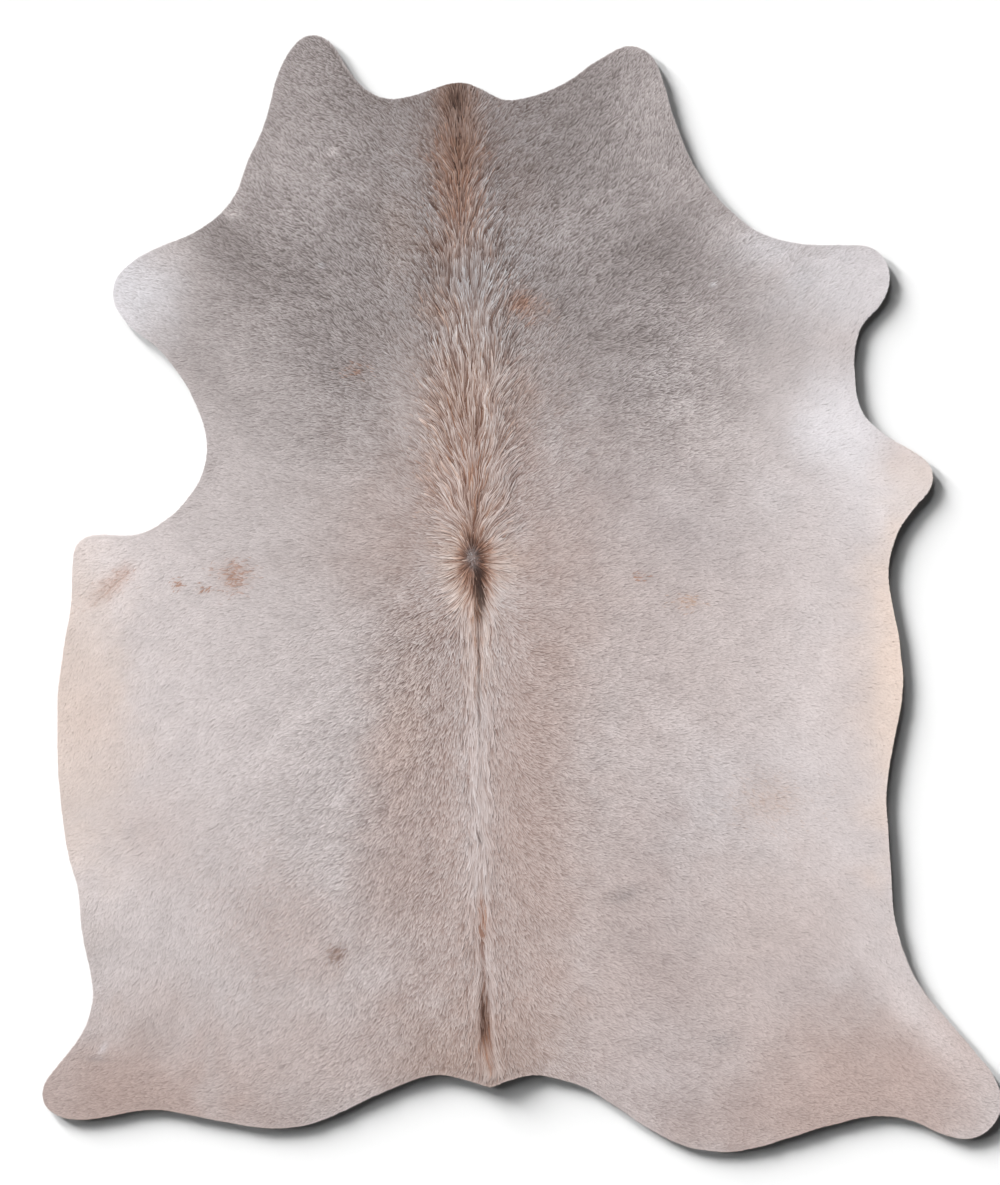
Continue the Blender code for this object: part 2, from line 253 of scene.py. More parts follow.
MARKINGS = [
    ("neck and shoulders", -90, 880, 720, 620, "smoke", 0.86, 0, 3),
    ("left shoulder", -515, 655, 140, 62, "smoke", 0.52, 0, 2, -28),
    ("right shoulder", 280, 660, 170, 100, "smoke", 0.45, 0, 2, 20),
    ("left chest", -330, 430, 200, 150, "smoke", 0.25),
    ("right chest", 120, 400, 220, 160, "smoke", 0.25),
    ("left edge of the neck", -450, 800, 110, 150, "dove", 0.44, 0, 2, -20),
    ("left of the neck", -380, 765, 90, 85, "dove", 0.30),
    ("left notch", -545, 775, 70, 32, "dove", 0.55, 0, 2, 40),
    ("left shoulder edge", -555, 672, 70, 40, "smoke", 0.45, 0, 2, -28),
    ("left lobe", -390, 1000, 120, 110, "dove", 0.27),
    ("side of the left lobe", -480, 925, 45, 70, "dove", 0.20),
    ("right lobe", 245, 945, 85, 150, "dove", 0.60),
    ("right base of the neck", 30, 690, 110, 60, "dove", 0.26),
    ("right of the neck", 120, 705, 75, 90, "dove", 0.30),
    ("right middle of the neck", 215, 764, 60, 60, "dove", 0.24),
    ("right side of the stripe", 0, 766, 45, 60, "hazel", 0.18),
    ("right of the silver", -20, 596, 45, 50, "dove", 0.16),
    ("left of the stripe", -225, 805, 45, 110, "dove", 0.24),
    ("left middle of the neck", -345, 850, 60, 60, "dove", 0.14),
    ("beside the withers", 6, 400, 42, 130, "dove", 0.26),
    ("left beside the withers", -231, 350, 45, 70, "dove", 0.26),
    ("left beside the silver", -231, 596, 45, 50, "dove", 0.22),
    ("warm right of the withers", 6, 260, 45, 45, "fawn", 0.14),
    ("pale right chest", 345, 344, 80, 50, "pearl", 0.20),
    ("pale left chest", -467, 370, 60, 120, "dove", 0.18),
    ("pale left ribs", -585, 176, 60, 50, "pearl", 0.18),
    ("right of the loin", 124, -60, 60, 90, "rose", 0.28),
    ("right of the tail head", 124, -830, 50, 50, "slate", 0.14),
    ("middle of the right hind leg", 690, -830, 100, 50, "rose", 0.12),
    ("behind the left notch", -467, 680, 50, 40, "dove", 0.16),
    ("left of the withers", -349, 590, 70, 60, "dove", 0.18),
    ("below the right notch", 360, 685, 55, 50, "dove", 0.36),
    ("right of the withers", 130, 425, 70, 70, "smoke", 0.16),
    ("top of the right foreleg", 400, 690, 60, 35, "pearl", 0.35, 0, 2, -20),
    ("right notch", 325, 790, 55, 60, "dove", 0.50, 0, 2, -40),
    ("right shoulder edge", 290, 665, 90, 50, "smoke", 0.50, 0, 2, 10),
    ("left foreleg", -775, 580, 115, 115, "milk", 0.78, 0, 3),
    ("right foreleg", 650, 600, 170, 105, "milk", 0.46, 0, 3),
    ("behind the right foreleg", 600, 320, 100, 100, "milk", 0.60, 0, 3),
    ("right elbow", 700, 200, 130, 120, "milk", 0.32, 0, 3),
    ("tip of the right elbow", 740, 225, 60, 70, "cream", 0.30, 0, 3),
    ("left elbow", -830, 60, 150, 120, "pearl", 0.95, 0, 3),
    ("left side", -690, -220, 180, 300, "pearl", 0.38, 0, 3),
    ("right side", 570, -200, 140, 300, "pearl", 0.26, 0, 3),
    ("left flank", -820, -540, 80, 110, "pearl", 0.45),
    ("left belly", -905, -200, 150, 380, "cream", 0.54, 0, 3),
    ("right belly", 740, -160, 90, 330, "cream", 0.85, 0, 3),
    ("left of the back", -180, -430, 118, 560, "rose", 0.56, 0, 3),
    ("right of the back", 18, -450, 102, 560, "rose", 0.72, 0, 3),
    ("left of the whorl", -262, 115, 135, 150, "rose", 0.42),
    ("right of the whorl", 60, 110, 150, 150, "rose", 0.35),
    ("left blotch", -485, -620, 95, 105, "rose", 0.36, 0.2, 2, 30),
    ("left of the croup", -370, -880, 230, 110, "rose", 0.38, 0, 3),
    ("left of the loin", -250, -540, 70, 130, "rose", 0.34),
    ("below the left blotch", -385, -680, 80, 90, "rose", 0.32),
    ("above the left hind leg", -690, -790, 90, 70, "rose", 0.28),
    ("right of the croup", 210, -700, 130, 380, "rose", 0.50, 0, 3),
    ("right haunch", 450, -770, 210, 280, "rose", 0.42, 0, 3),
    ("right of the middle", 260, -60, 260, 330, "rose", 0.26, 0, 3),
    ("lower edge of the left rump", -480, -1000, 90, 50, "rose", 0.50),
    ("lower edge of the right rump", 340, -1010, 130, 65, "rose", 0.50),
    ("tail head", -80, -900, 145, 120, "fawn", 0.55),
    ("left hind leg", -780, -960, 240, 130, "rose", 0.84, 0, 3),
    ("right hind leg", 640, -960, 280, 160, "rose", 0.80, 0, 3, 20),
    ("outer edge of the right hind leg", 775, -830, 130, 30, "pearl", 0.50, 0, 2, -48),
    ("grey above the right hind leg", 645, -785, 45, 70, "slate", 0.16),
    ("left ray", -461, -270, 140, 22, "pearl", 0.32, 0.2, 2, 48),
    ("upper left ray", -520, -190, 110, 16, "pearl", 0.20, 0.2, 2, 44),
    ("right ray", 320, -270, 130, 26, "pearl", 0.30, 0.2, 2, -42),
    ("lower right ray", 300, -370, 110, 18, "pearl", 0.20, 0.2, 2, -40),
    ("left of the belly", -704, -445, 90, 95, "rose", 0.24),
    ("pale left of the loin", -231, -200, 55, 210, "dove", 0.14),
    ("pale below the loin", -340, -495, 60, 60, "dove", 0.16),
    ("pale left of the croup", -231, -665, 60, 70, "dove", 0.16),
    ("warm left of the loin", -231, -280, 60, 100, "sand", 0.20),
    ("pale right of the loin", 124, -370, 55, 120, "dove", 0.20),
    ("pale right flank", 360, -327, 60, 45, "pearl", 0.18),
    ("pale right ribs", 360, -75, 60, 50, "pearl", 0.18),
    ("pale behind the right chest", 360, 260, 60, 45, "pearl", 0.14),
    ("pale below the right elbow", 479, 190, 60, 60, "milk", 0.14),
    ("edge of the left chest", -590, 490, 60, 70, "slate", 0.12),
    ("edge of the right chest", 478, 428, 60, 50, "slate", 0.13),
    ("dark right ribs", 360, 92, 60, 50, "slate", 0.08),
    ("dark right haunch", 330, -663, 90, 60, "slate", 0.09),
    ("warm right haunch", 600, -830, 120, 60, "rose", 0.12),
    ("end of the right hind leg's foot", 834, -998, 50, 30, "rose", 0.18),
    ("dark above the left hind leg", -704, -830, 60, 50, "slate", 0.08),
    ("cool right rump", 300, -950, 200, 140, "ash", 0.11),
    ("pale right rump", 242, -830, 60, 50, "dove", 0.24),
    ("pale lower right rump", 200, -950, 130, 60, "dove", 0.20),
    ("pale right haunch", 360, -914, 60, 50, "dove", 0.14),
    ("pale left rump", -559, -830, 60, 50, "dove", 0.16),
    ("edge behind the right foreleg", 597, 428, 50, 50, "milk", 0.14),
    ("edge of the right elbow", 715, 260, 40, 40, "rose", 0.18),
    ("warm edge of the left belly", -822, -240, 70, 90, "tan", 0.13),
    ("warm edge of the right belly", 640, -190, 80, 150, "tan", 0.10),
    ("warm left of the line", -205, -140, 45, 110, "tan", 0.13),
    ("right of the tail", 65, -830, 45, 50, "fawn", 0.12),
    ("tip of the right hind leg", 862, -914, 40, 40, "dove", 0.20),
    ("dark left haunch", -587, -740, 60, 50, "slate", 0.14),
    ("dark left ribs", -469, 170, 60, 50, "slate", 0.09),
    ("edge of the left flank", -815, -663, 40, 60, "slate", 0.14),
    ("cool right ribs", 300, 135, 170, 100, "ash", 0.13, 0, 2, -20),
    ("cool right flank", 430, -370, 150, 85, "ash", 0.14, 0, 2, 20),
    ("cool right of the croup", 265, -620, 110, 360, "ash", 0.12),
    ("cool above the right hind leg", 540, -750, 130, 80, "ash", 0.10),
    ("upper edge of the right foreleg", 473, 665, 90, 50, "milk", 0.45),
    ("upper edge of the left foreleg", -662, 651, 60, 35, "pearl", 0.35, 0, 2, 25),
    ("tip of the left hind leg", -880, -950, 50, 50, "dove", 0.20),
    ("end of the right hind leg", 820, -960, 90, 100, "rose", 0.16, 0, 2, 40),
    ("edge of the left rump", -440, -1000, 60, 50, "slate", 0.14),
    ("edge of the right rump", 360, -1010, 80, 50, "slate", 0.10),
    ("peach patch", 473, -394, 60, 45, "tan", 0.26, 0.2),
    ("rust spot of the shoulder", 2, 550, 32, 24, "rust", 0.60, 0.3, 2, -30),
    ("faint spot of the withers", -175, 533, 24, 14, "fawn", 0.36, 0.2),
    # A dark line in a fold of the left hind leg, painted shade, and a light line by it, a painted
    # highlight
    ("fold of the left hind leg", -811, -886, 26, 5, "slate", 0.40, 0, 2, -5),
    ("light fold of the left hind leg", -798, -866, 16, 7, "milk", 0.35, 0, 2, 60),
    ("faint spot of the chest", -318, 426, 24, 16, "rust", 0.25, 0.5),
    ("left diagonal patch", -782, 16, 46, 18, "rust", 0.42, 0.2, 2, 41),
    ("top of the left diagonal patch", -757, 42, 20, 16, "rust", 0.30, 0.2, 2, 41),
    ("left brown spot", -547, 35, 25, 25, "rust", 0.62, 0.4),
    ("left small spot", -654, 18, 10, 9, "rust", 0.45, 0.6),
    ("second left small spot", -606, 7, 11, 8, "rust", 0.35, 0.6),
    ("right small spot", 221, 31, 11, 10, "rust", 0.45, 0.6),
    ("right faint patch", 315, -16, 25, 13, "tan", 0.40, 0.5),
    ("left dark spot", -353, -686, 16, 16, "hazel", 0.60, 0.4),
    ("right grey spot", 196, -574, 30, 13, "slate", 0.50, 0.2, 2, 15),
    ("lower right grey spot", 180, -665, 40, 35, "slate", 0.16),
    ("grey fleck of the rump", 378, -851, 24, 18, "slate", 0.30, 0.4),
    ("scar of the shoulder", -552, 724, 21, 9, "pearl", 0.80, 0, 2, -8),
    # A light line along a fold of the neck: painted highlight
    ("fold of the neck", -366, 837, 33, 6, "pearl", 0.55, 0, 2, 31),
    ("fleck of the left chest", -380, 625, 5, 5, "milk", 0.60),
    ("fleck of the right foreleg", 362, 588, 6, 5, "milk", 0.60),
]

# The same for the markings of the back, whose place across is from the back line
BACK_MARKINGS = [
    ("stripe of the neck", -11, 835, 51, 165, "hazel", 0.72, 0.2),
    ("rusty middle of the stripe", -6, 787, 46, 132, "rust", 0.40, 0.3),
    ("middle of the stripe", 2, 855, 28, 60, "hazel", 0.50, 0.3),
    ("tuft at the neck edge", -14, 948, 34, 36, "hazel", 0.72, 0.2, 3),
    ("dark of the tuft", -11, 945, 18, 32, "umber", 0.52, 0.4),
    ("upper streak", -9, 880, 10, 50, "umber", 0.22, 0.8),
    ("lower streak", -4, 780, 10, 55, "umber", 0.14, 0.8),
    ("brown beside the silver", -50, 580, 36, 80, "hazel", 0.34, 0.3),
    ("end of the stripe", -28, 625, 46, 56, "hazel", 0.28, 0.3),
    ("warm left of the stripe", -122, 690, 42, 70, "tan", 0.15),
    ("silver of the shoulders", 4, 570, 34, 90, "silver", 0.32, 0.5, 3),
    ("rose round the withers", -8, 290, 125, 220, "rose", 0.18, 0.1),
    ("sand round the withers", 20, 400, 125, 110, "sand", 0.20, 0.1),
    ("sand of the withers", -14, 300, 72, 215, "sand", 0.34, 0.3, 3),
    ("brown of the withers", 4, 300, 42, 185, "hazel", 0.30, 0.6, 3),
    ("dark strands of the withers", -10, 330, 30, 150, "bark", 0.17, 0.9),
    ("left brown of the withers", -38, 320, 26, 110, "hazel", 0.36, 0.5),
    ("upper brown of the withers", -12, 425, 26, 60, "hazel", 0.36, 0.6),
    ("rust of the withers", -2, 225, 30, 100, "rust", 0.28, 0.4),
    ("rose above the whorl", 95, 245, 60, 60, "rose", 0.24),
    ("halo of the whorl", -3, 48, 70, 92, "cream", 0.44, 0.1, 3),
    ("ring of the whorl", 5, 50, 34, 90, "rust", 0.88, 0.3, 3, 3),
    ("brown of the whorl", 6, 52, 22, 70, "bark", 0.86, 0.35, 3, 4),
    ("dark above the whorl", -4, 94, 10, 18, "umber", 0.55, 0.4),
    ("dark below the whorl", 9, 6, 12, 60, "umber", 0.90, 0.5, 3),
    ("centre of the whorl", -3, 70, 10, 16, "silver", 0.90),
    ("pale beside the line", -12, -360, 36, 220, "dove", 0.60, 0.2, 3),
    ("warm beside the line", -28, -330, 54, 300, "rust", 0.08, 0, 3),
    ("cream below the whorl", 6, -110, 34, 90, "cream", 0.18, 0.2, 3),
    ("brown beside the line", 0, -98, 10, 80, "rust", 0.48, 0.4),
    ("line below the whorl", 2, -125, 3.2, 130, "umber", 0.68, 0.2),
    ("mark in the line", 1, -466, 5, 12, "umber", 0.50, 0.5),
    ("rose of the croup line", 0, -760, 50, 120, "rose", 0.45, 0.1),
    ("rusty line", 2, -617, 6, 40, "rust", 0.55, 0.5),
    ("line of the croup", 1, -710, 5, 100, "bark", 0.50, 0.4),
    ("wedge of the tail head", -3, -806, 11, 74, "hazel", 0.70, 0.3),
    ("brown of the tail head", -5, -806, 7, 56, "bark", 0.84, 0.3),
    ("dark of the tail head", -5, -806, 5, 42, "umber", 0.70, 0.3),
    ("rust of the tail", -2, -882, 9, 30, "rust", 0.42, 0.3),
]


def linear(hex_colour):
    """An sRGB hex colour as linear red, green and blue."""
    parts = [int(hex_colour[i : i + 2], 16) / 255 for i in (1, 3, 5)]
    return tuple(p / 12.92 if p <= 0.04045 else ((p + 0.055) / 1.055) ** 2.4 for p in parts)


def smooth(share):
    share = np.clip(share, 0.0, 1.0)
    return share * share * (3.0 - 2.0 * share)


def blended(grid, across, along):
    """A grid's values at places counted in its steps, blended from the four round each place."""
    i = np.minimum(across.astype(int), grid.shape[0] - 2)
    j = np.minimum(along.astype(int), grid.shape[1] - 2)
    u, v = across - i, along - j
    near = grid[i, j] * (1 - u) + grid[i + 1, j] * u
    far = grid[i, j + 1] * (1 - u) + grid[i + 1, j + 1] * u
    return near * (1 - v) + far * v


def drift(points, layers):
    """Smooth noise round 0, from layers that each have a strength, a size and a seed."""
    total = np.zeros(len(points))
    for strength, size, seed in layers:
        lattice = np.random.default_rng(seed).uniform(-1.0, 1.0, (256, 256))
        cell = np.floor(points / size)
        place = cell % 256 + smooth(points / size - cell)
        total += strength * blended(np.pad(lattice, (0, 1), mode="wrap"), *place.T)
    return total


def unit(vectors):
    return vectors / np.linalg.norm(vectors, axis=1, keepdims=True)


def turned(vectors, angle):
    c, s = np.cos(angle), np.sin(angle)
    x, y = vectors.T
    return np.stack((x * c - y * s, x * s + y * c), 1)


def along_back(column, along):
    """A column of the back line's table at these places along the hide."""
    return np.interp(-along, [-row[2] * MM for row in BACK], [row[column] for row in BACK])


def from_back(points):
    """How far each point is to the right of the back line."""
    return points[:, 0] - along_back(PLACE, points[:, 1]) * MM


def chart_places(points, across, rows):
    """Where each point is in a chart, in its rows and its columns."""
    along = [-row[1] * MM for row in rows]
    row = np.interp(-points[:, 1], along, np.arange(len(rows)))
    column = np.interp(from_back(points), np.array(across) * MM, np.arange(len(across)))
    return row, column


def comb(points):
    """The unit vector in which the hair lies at each point."""
    places = chart_places(points, COMB_ACROSS, COMB)
    chart = np.radians([row[2:] for row in COMB])
    heading = np.stack([blended(part, *places) for part in (np.cos(chart), np.sin(chart))], 1)
    away = points - WHORL
    tiny = 1e-6
    gap = np.linalg.norm(away, axis=1, keepdims=True) + tiny
    heading += WHORL_PULL * away / gap * np.exp(-((gap / WHORL_REACH) ** 2))
    return heading / (np.linalg.norm(heading, axis=1, keepdims=True) + tiny)


def waves(points):
    """The unit vector in which the long hair runs: it swings to both sides of the coat's lie."""
    return turned(comb(points), np.radians(drift(points, WAVES)))


def whorl_growth(points):
    """The share of its length that a lock reaches near the whorl, where the hair starts short."""
    gap = np.linalg.norm(points - WHORL, axis=1)
    return WHORL_GROWTH + (1 - WHORL_GROWTH) * smooth(gap / WHORL_REACH)


def mane(points):
    """How strongly the locks stand apart at each point."""
    chart = np.array([row[2:] for row in MANE])
    return blended(chart, *chart_places(points, MANE_ACROSS, MANE))


def shade_powers(points):
    """The powers of red, green and blue that a shade takes at each point."""
    share = np.exp(-((from_back(points) / BACK_SHADE_REACH) ** 2))[:, None]
    return SIDE_SHADE + share * (BACK_SHADE - SIDE_SHADE)


def tints_at(points, chance):
    """The linear colour of the coat at each point. Its chance, from 0 to 1, decides whether it
    takes the share of a marking that comes lock by lock."""
    tints = bpy.context.scene.cowhide_tints
    names = COWHIDE_PG_tints.__annotations__
    palette = {name: np.array(getattr(tints, name)[:]) for name in names}
    colour = np.tile(palette["dove"], (len(points), 1))
    ragged = 1 + drift(points, RAGGED)
    straight = np.column_stack((from_back(points), points[:, 1]))
    for places, markings in ((points, MARKINGS), (straight, BACK_MARKINGS)):
        for row in markings:
            marking = Marking(*row)
            away = places - np.array((marking.x, marking.y)) * MM
            reach = np.array((marking.across, marking.along)) * MM
            u, v = (turned(away, math.radians(-marking.turn)) / reach).T
            cover = marking.strength * np.exp(-((np.hypot(u, v) * ragged) ** marking.firmness))
            cover = cover * (1 - marking.by_lock) + (chance < cover) * marking.by_lock
            colour += cover[:, None] * (palette[marking.tint] - colour)
    return colour * (1 + drift(points, MOTTLE))[:, None]


class Survey:
    """The hide in the frame, read once: its edge, its top, the lie of its coat, and how far in
    each place is. Each grid has a value at every step across and along."""

    STEP = 0.005
    MARGIN = 0.02  # the grids reach this far past the hide
    CLEAR = 0.012  # the top is read from this far in, past the solid's rounded rim
    SOFTENING = 26  # rounds of blurring that take the solid's faces out of the top

    def __init__(self):
        self.edge = self.read_edge()
        self.x = np.arange(LOW.x - self.MARGIN, HIGH.x + self.MARGIN, self.STEP)
        self.y = np.arange(LOW.y - self.MARGIN, HIGH.y + self.MARGIN, self.STEP)
        places = np.stack(np.meshgrid(self.x, self.y, indexing="ij"), -1)
        flat = places.reshape(-1, 2)
        self.inset = self.inside_edge(flat).reshape(places.shape[:2])
        self.top = self.read_top(places)
        heading = comb(flat).reshape(places.shape)
        self.fine = self.streaks(flat, heading, 0.008, 41)
        self.long = self.streaks(flat, waves(flat).reshape(places.shape), 0.045, 42)
        strand = self.long - blurred(self.long, 3)
        self.strand = strand / strand.std()
        across = np.stack((-heading[..., 1], heading[..., 0]), -1)
        self.ripple = self.streaks(flat, across, 0.007, 43)

    def read_edge(self):
        """The line of the hair tips, clockwise, from the border of the solid's flat underside."""
        bm = bmesh.new()
        bm.from_mesh(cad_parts["hide"].data)
        bmesh.ops.remove_doubles(bm, verts=bm.verts, dist=0.01 * MM)
        lifted = [face for face in bm.faces if face.calc_center_median().z > 0.2 * MM]
        bmesh.ops.delete(bm, geom=lifted, context="FACES")
        border = [edge for edge in bm.edges if edge.is_boundary]
        following = {}
        for edge in border:
            loop = edge.link_loops[0]
            following[loop.link_loop_next.vert.index] = loop.vert.index
        places = {vert.index: vert.co.to_2d() for edge in border for vert in edge.verts}
        bm.free()
        order = [next(iter(following))]
        while len(order) < len(following):
            order.append(following[order[-1]])
        cut = np.array([places[i] for i in order])
        if signed_area(cut) > 0:
            cut = cut[::-1]
        return cut - CUT_INSET * inward(cut)

    def inside_edge(self, points):
        """How far each point lies inside the edge, in metres; less than nothing is outside."""
        nearest = np.full(len(points), np.inf)
        crossings = np.zeros(len(points), int)
        x, y = points.T
        for (ax, ay), (bx, by) in zip(self.edge, np.roll(self.edge, -1, 0)):
            run_x, run_y = bx - ax, by - ay
            share = ((x - ax) * run_x + (y - ay) * run_y) / (run_x**2 + run_y**2)
            share = np.clip(share, 0, 1)
            gap = (x - ax - share * run_x) ** 2 + (y - ay - share * run_y) ** 2
            np.minimum(nearest, gap, out=nearest)
            if ay != by:
                crossings += ((ay > y) != (by > y)) & (x < ax + (y - ay) * run_x / run_y)
        return np.where(crossings % 2, 1.0, -1.0) * np.sqrt(nearest)

    def read_top(self, places):
        """The hide's height on the grid, from rays shot down on it, softened."""
        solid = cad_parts["hide"]
        tree = BVHTree.FromObject(solid, bpy.context.evaluated_depsgraph_get())
        known = self.inset > self.CLEAR
        heights = np.zeros(known.shape)
        for i, j in zip(*np.nonzero(known)):
            above = Vector((*places[i, j], 1.0))
            heights[i, j] = tree.ray_cast(above, Vector((0, 0, -1)))[0].z
        weight = blurred(known.astype(float), self.SOFTENING)
        return blurred(heights, self.SOFTENING) / np.maximum(weight, 1e-9)

    def streaks(self, flat, heading, length, seed):
        """Grain drawn out along the heading over this length, with a spread of 1."""
        shape = (len(self.x), len(self.y))
        grain = np.random.default_rng(seed).standard_normal(shape)
        total = grain.copy().ravel()
        for step in (self.STEP, -self.STEP):
            place = flat.copy()
            cell = self.cell(place)
            for _ in range(round(length / self.STEP)):
                place += step * heading[cell]
                cell = self.cell(place)
                total += grain[cell]
        return (total / total.std()).reshape(shape)

    def counted(self, points, last):
        """The places of the points in the grid, in its steps, up to this place from its end."""
        across = np.clip((points[:, 0] - self.x[0]) / self.STEP, 0, len(self.x) - last)
        along = np.clip((points[:, 1] - self.y[0]) / self.STEP, 0, len(self.y) - last)
        return across, along

    def cell(self, points):
        return tuple(part.round().astype(int) for part in self.counted(points, 1))

    def at(self, grid, points):
        """A grid's value at each point."""
        return blended(grid, *self.counted(points, 1.001))


def signed_area(loop):
    following = np.roll(loop, -1, 0)
    return (loop[:, 0] * following[:, 1] - following[:, 0] * loop[:, 1]).sum() / 2


def inward(loop):
    """The unit vector at each point of a clockwise loop that leads into it."""
    x, y = unit(np.roll(loop, -1, 0) - np.roll(loop, 1, 0)).T
    return np.stack((y, -x), 1)


def mostly_dark(tone):
    """Bends an even spread so that the dark locks stand out more than the light ones."""
    return np.where(tone > 0, 0.6 * tone, 1.2 * tone).clip(-2.4, 1.3)


def mixed(weights, parts):
    """The sum of the parts, each times its weight."""
    return sum(weight * part for weight, part in zip(weights, parts))


def blurred(grid, rounds):
    for _ in range(rounds):
        for axis in (0, 1):
            grid = (np.roll(grid, 1, axis) + 2 * grid + np.roll(grid, -1, axis)) / 4
    return grid


def closed_curve(loop, step):
    """A smooth closed curve through the loop's points, with a point about every step."""
    found = []
    count = len(loop)
    for i in range(count):
        a, b, c, d = (loop[(i + k) % count] for k in (-1, 0, 1, 2))
        pieces = max(1, round(np.linalg.norm(c - b) / step))
        for t in np.arange(pieces) / pieces:
            bend = (2 * a - 5 * b + 4 * c - d) * t**2 + (3 * b - a - 3 * c + d) * t**3
            found.append(0.5 * (2 * b + (c - a) * t + bend))
    return np.array(found)


def scattered(step, seed):
    """Places over the hide's box on a triangular grid, each nudged at random in its own cell."""
    row_step = step * math.sqrt(3) / 2
    columns, rows = int(WIDTH / step) + 2, int(LENGTH / row_step) + 2
    i, j = np.meshgrid(np.arange(columns), np.arange(rows), indexing="ij")
    x = LOW.x + (i + 0.5 * (j % 2)) * step
    y = LOW.y + j * row_step
    points = np.stack((x, y), -1).reshape(-1, 2)
    return points + np.random.default_rng(seed).uniform(-0.5, 0.5, points.shape) * step


def raised(places, heights):
    """Flat places with their heights. Several lists of each make lines, one list to a station."""
    return np.concatenate((np.stack(places, -2), np.stack(heights, -1)[..., None]), -1)


def add_node(tree, kind, sockets=None, **settings):
    """Adds a shader node. A socket takes a value, or another node's output to be linked to."""
    made = tree.nodes.new("ShaderNode" + kind)
    for key, value in settings.items():
        setattr(made, key, value)
    for key, value in (sockets or {}).items():
        if isinstance(value, bpy.types.NodeSocket):
            tree.links.new(value, made.inputs[key])
        else:
            made.inputs[key].default_value = value
    return made


def new_material(name, **finish):
    """An empty node material and its shader, whose sockets take the values of the finish."""
    material = bpy.data.materials.new(name)
    material.use_nodes = True
    tree = material.node_tree
    tree.nodes.clear()
    sockets = {key.replace("_", " "): value for key, value in finish.items()}
    shader = add_node(tree, "BsdfPrincipled", sockets)
    add_node(tree, "OutputMaterial", {"Surface": shader.outputs[0]})
    return material, tree, shader


def tinted(tree, shader, lightness):
    """Gives the shader the stored coat colour, painted shade included, times a lightness from
    another node.
    """
    tint = add_node(tree, "Attribute", attribute_name="coat")
    colour = add_node(
        tree, "VectorMath", {0: tint.outputs["Vector"], "Scale": lightness},
        operation="SCALE",
    )
    tree.links.new(colour.outputs[0], shader.inputs["Base Color"])


def hair_material(name, root_painted_shade):
    """Cow hair: a dry, silky fibre in small locks, with painted shade towards the root, and paler
    hairs among its own."""
    material, tree, shader = new_material(
        name, Roughness=0.62, Specular_IOR_Level=0.25, Sheen_Weight=0.04, Sheen_Roughness=0.45
    )
    lock = add_node(tree, "UVMap", uv_map="lock")
    along = add_node(tree, "SeparateXYZ", {0: lock.outputs[0]})
    # Nine hairs across a lock, so each about 0.4 mm wide: some six times a real one, to show
    stretched = add_node(
        tree, "Mapping", {"Vector": lock.outputs[0], "Scale": (9.0, 0.7, 1.0)}
    )
    hairs = add_node(
        tree, "TexNoise",
        {"Vector": stretched.outputs[0], "Scale": 1.0, "Detail": 2.0},
        noise_dimensions="2D",
    )
    fine = add_node(
        tree, "MapRange", {"Value": hairs.outputs["Fac"], "To Min": 0.86, "To Max": 1.14}
    )
    # Painted shade: each lock darker towards its root, where the locks above would shade it
    depth = add_node(
        tree, "MapRange",
        {"Value": along.outputs["Y"], "To Min": root_painted_shade, "To Max": 1.06},
        interpolation_type="SMOOTHSTEP",
    )
    lightness = add_node(
        tree, "Math", {0: depth.outputs["Result"], 1: fine.outputs["Result"]},
        operation="MULTIPLY",
    )
    tinted(tree, shader, lightness.outputs[0])
    return material


def skin_material():
    """The hair side under the coat: down and hair roots, felted, seen only between the locks."""
    material, tree, shader = new_material("down under the coat", Roughness=0.85)
    place = add_node(tree, "TexCoord")
    # Tufts of down about 1.5 mm apart
    roots = add_node(
        tree, "TexNoise",
        {"Vector": place.outputs["Object"], "Scale": 1 / (1.5 * MM), "Detail": 3.0},
    )
    lightness = add_node(
        tree, "MapRange", {"Value": roots.outputs["Fac"], "To Min": 0.9, "To Max": 1.08}
    )
    tinted(tree, shader, lightness.outputs["Result"])
    return material


def flesh_material():
    """The flesh side and the cut edge: split leather with a suede nap, dull, slightly fibrous."""
    sizes = bpy.context.scene.cowhide_skin
    material, tree, shader = new_material("suede flesh side", Roughness=0.92)
    place = add_node(tree, "TexCoord")
    # The nap is about 0.8 mm from tuft to tuft
    nap = add_node(
        tree, "TexNoise",
        {"Vector": place.outputs["Object"], "Scale": 1 / (0.8 * MM), "Detail": 4.0},
    )
    # The colour follows the nap's height: painted shade in its hollows, lighter on its tips
    colour = add_node(
        tree, "Mix",
        {0: nap.outputs["Fac"], 6: (*sizes.nap_hollow, 1), 7: (*sizes.nap_tip, 1)},
        data_type="RGBA",
    )
    bump = add_node(
        tree, "Bump",
        {"Height": nap.outputs["Fac"], "Strength": 0.3, "Distance": 0.2 * MM},
    )
    tree.links.new(colour.outputs[2], shader.inputs["Base Color"])
    tree.links.new(bump.outputs[0], shader.inputs["Normal"])
    return material


def new_piece(name, points, faces, materials):
    """A mesh object of triangles, smooth, in the scene and riding on the hide's body."""
    mesh = bpy.data.meshes.new(name)
    mesh.vertices.add(len(points))
    mesh.vertices.foreach_set("co", np.asarray(points, np.float32).ravel())
    mesh.loops.add(len(faces) * 3)
    mesh.loops.foreach_set("vertex_index", np.asarray(faces, np.int32).ravel())
    mesh.polygons.add(len(faces))
    mesh.polygons.foreach_set("loop_start", np.arange(0, len(faces) * 3, 3, dtype=np.int32))
    mesh.update(calc_edges=True)
    mesh.shade_smooth()
    for material in materials:
        mesh.materials.append(material)
    piece = bpy.data.objects.new(name, mesh)
    bpy.context.scene.collection.objects.link(piece)
    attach(piece, "root")
    return piece


def keep_colour(piece, colours, tone, powers):
    """Stores the coat's colour at each point of the piece's mesh, times its tone, painted shade
    included.
    """
    made = piece.data.attributes.new("coat", "FLOAT_VECTOR", "POINT")
    shaded = colours * tone[..., None] ** powers
    made.data.foreach_set("vector", np.asarray(shaded, np.float32).ravel())


